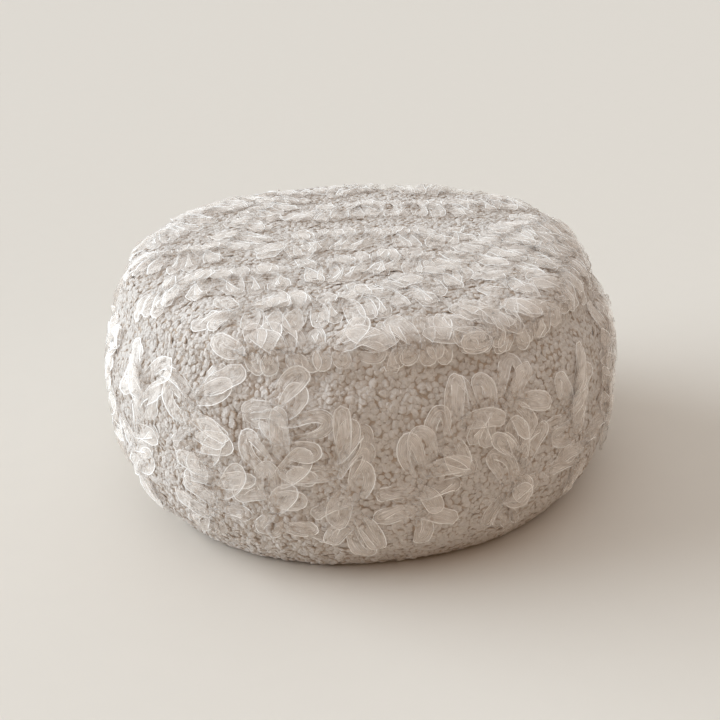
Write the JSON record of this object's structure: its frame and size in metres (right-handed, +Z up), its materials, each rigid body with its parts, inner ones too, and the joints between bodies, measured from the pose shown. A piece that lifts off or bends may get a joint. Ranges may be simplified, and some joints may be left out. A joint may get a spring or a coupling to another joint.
{
  "type": "meditation cushion",
  "caption": "Round drum-shaped floor cushion of cream curly fleece, with wandering rows of sheer ribbon petals sewn over its top and side.",
  "frame": {"origin": "on the flat base, at the middle of the cushion", "axes": "+Z up, out of the top panel; -Y towards the front, from where the picture is taken; +X to the right"},
  "size_m": [0.4457, 0.4465, 0.2081],
  "materials": {
    "fleece": "cream curly fleece, matt, with warm shade between its curls",
    "ribbon": "sheer white ribbon with bright selvedges, slightly glossy"
  },
  "bodies": {
    "root": {"cushion_body": "fleece", "row_front_left": "ribbon", "row_front": "ribbon", "row_rim_right": "ribbon", "row_second": "ribbon", "row_third": "ribbon", "row_middle": "ribbon", "row_left": "ribbon", "row_back": "ribbon", "row_far_left": "ribbon", "row_far_back": "ribbon", "side_left": "ribbon", "side_front_left": "ribbon", "side_front_a": "ribbon", "side_front_b": "ribbon", "side_front_c": "ribbon", "side_front_right": "ribbon", "side_right_a": "ribbon", "side_right_b": "ribbon", "side_right_c": "ribbon", "side_back_a": "ribbon", "side_back_b": "ribbon", "side_back_c": "ribbon", "side_back_d": "ribbon", "side_back_e": "ribbon", "side_back_f": "ribbon", "side_back_g": "ribbon", "side_back_h": "ribbon"}
  },
  "joints": []
}
